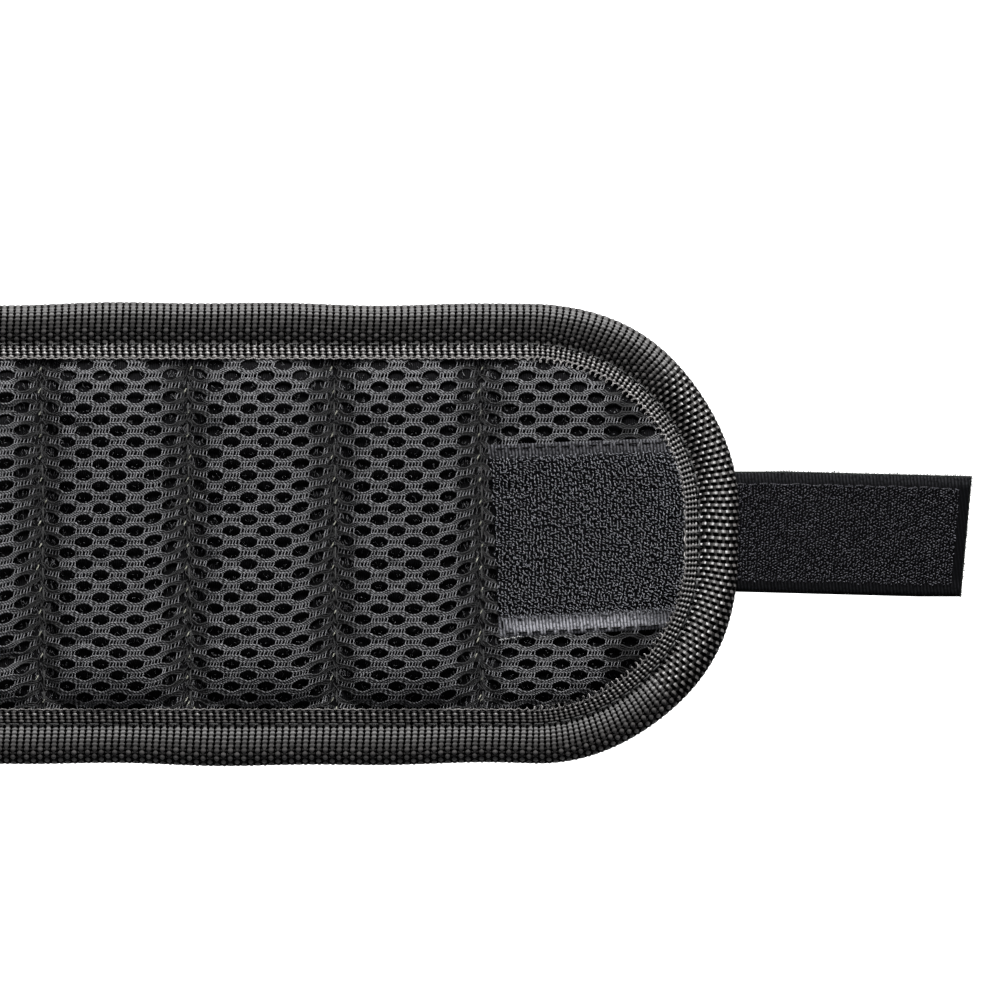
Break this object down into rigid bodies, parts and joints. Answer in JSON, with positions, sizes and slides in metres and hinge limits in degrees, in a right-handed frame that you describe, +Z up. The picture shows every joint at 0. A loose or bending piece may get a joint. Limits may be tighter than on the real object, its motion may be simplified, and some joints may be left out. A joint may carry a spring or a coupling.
{
  "type": "magnetic wristband",
  "caption": "Padded cloth wristband with sewn magnet pockets, mesh lining, bound edge and a hook tab, for holding screws and nails on the wrist.",
  "frame": {"origin": "centre of the underside of the whole band with its tab laid straight, as it lies flat on its outer face", "axes": "+X runs along the band to the closing tab, +Y across it, +Z up out of the wrist side"},
  "size_m": [0.2892, 0.09, 0.009],
  "materials": {
    "outer_cloth": "coarse plain weave, matt",
    "lining_mesh": "knitted spacer mesh, matt",
    "binding_tape": "plain woven tape, slight sheen",
    "loop_pile": "soft loop pile",
    "hook_tape": "hooks on a woven ground, slate black",
    "tab_tape": "hook and backing tapes sewn together",
    "tab_hooks": "hooks on a woven ground, black",
    "carrier_felt": "pressed felt",
    "magnet_nickel": "nickel plate, satin"
  },
  "bodies": {
    "left_end": {"left_end_outer_cloth": "outer_cloth", "left_end_mesh_lining": "lining_mesh", "left_end_edge_binding": "binding_tape", "left_end_loop_patch": "loop_pile"},
    "pocket_1": {"pocket_1_outer_cloth": "outer_cloth", "pocket_1_mesh_lining": "lining_mesh", "pocket_1_edge_binding_back": "binding_tape", "pocket_1_edge_binding_front": "binding_tape", "pocket_1_magnet_carrier": "carrier_felt", "pocket_1_magnet_1": "magnet_nickel", "pocket_1_magnet_2": "magnet_nickel", "pocket_1_magnet_3": "magnet_nickel", "pocket_1_loop_patch": "loop_pile"},
    "pocket_2": {"pocket_2_outer_cloth": "outer_cloth", "pocket_2_mesh_lining": "lining_mesh", "pocket_2_edge_binding_back": "binding_tape", "pocket_2_edge_binding_front": "binding_tape", "pocket_2_magnet_carrier": "carrier_felt", "pocket_2_magnet_1": "magnet_nickel", "pocket_2_magnet_2": "magnet_nickel", "pocket_2_magnet_3": "magnet_nickel", "pocket_2_loop_patch": "loop_pile"},
    "pocket_3": {"pocket_3_outer_cloth": "outer_cloth", "pocket_3_mesh_lining": "lining_mesh", "pocket_3_edge_binding_back": "binding_tape", "pocket_3_edge_binding_front": "binding_tape", "pocket_3_magnet_carrier": "carrier_felt", "pocket_3_magnet_1": "magnet_nickel", "pocket_3_magnet_2": "magnet_nickel", "pocket_3_magnet_3": "magnet_nickel"},
    "pocket_4": {"pocket_4_outer_cloth": "outer_cloth", "pocket_4_mesh_lining": "lining_mesh", "pocket_4_edge_binding_back": "binding_tape", "pocket_4_edge_binding_front": "binding_tape", "pocket_4_magnet_carrier": "carrier_felt", "pocket_4_magnet_1": "magnet_nickel", "pocket_4_magnet_2": "magnet_nickel", "pocket_4_magnet_3": "magnet_nickel"},
    "pocket_5": {"pocket_5_outer_cloth": "outer_cloth", "pocket_5_mesh_lining": "lining_mesh", "pocket_5_edge_binding_back": "binding_tape", "pocket_5_edge_binding_front": "binding_tape", "pocket_5_magnet_carrier": "carrier_felt", "pocket_5_magnet_1": "magnet_nickel", "pocket_5_magnet_2": "magnet_nickel", "pocket_5_magnet_3": "magnet_nickel"},
    "right_end": {"right_end_outer_cloth": "outer_cloth", "right_end_mesh_lining": "lining_mesh", "right_end_edge_binding": "binding_tape", "right_end_hook_patch": "hook_tape", "right_end_tab_root": "tab_tape"},
    "tab": {"tab_hook_tape": "tab_hooks", "tab_backing_tape": "tab_tape"}
  },
  "joints": [
    {"name": "seam_1", "type": "hinge", "parent": "pocket_1", "child": "left_end", "pos_m": [-0.09395, 0, 0.0022], "axis": [0, 1, 0], "range_deg": [-15, 82]},
    {"name": "seam_2", "type": "hinge", "parent": "pocket_2", "child": "pocket_1", "pos_m": [-0.06545, 0, 0.0022], "axis": [0, 1, 0], "range_deg": [-15, 60]},
    {"name": "seam_3", "type": "hinge", "parent": "pocket_3", "child": "pocket_2", "pos_m": [-0.03695, 0, 0.0022], "axis": [0, 1, 0], "range_deg": [-15, 45]},
    {"name": "seam_4", "type": "hinge", "parent": "pocket_3", "child": "pocket_4", "pos_m": [-0.00845, 0, 0.0022], "axis": [0, -1, 0], "range_deg": [-15, 45]},
    {"name": "seam_5", "type": "hinge", "parent": "pocket_4", "child": "pocket_5", "pos_m": [0.02005, 0, 0.0022], "axis": [0, -1, 0], "range_deg": [-15, 60]},
    {"name": "seam_6", "type": "hinge", "parent": "pocket_5", "child": "right_end", "pos_m": [0.04855, 0, 0.0022], "axis": [0, -1, 0], "range_deg": [-15, 68]},
    {"name": "tab_fold", "type": "hinge", "parent": "right_end", "child": "tab", "pos_m": [0.10445, 0, 0.0009], "axis": [0, -1, 0], "range_deg": [-60, 82]}
  ]
}
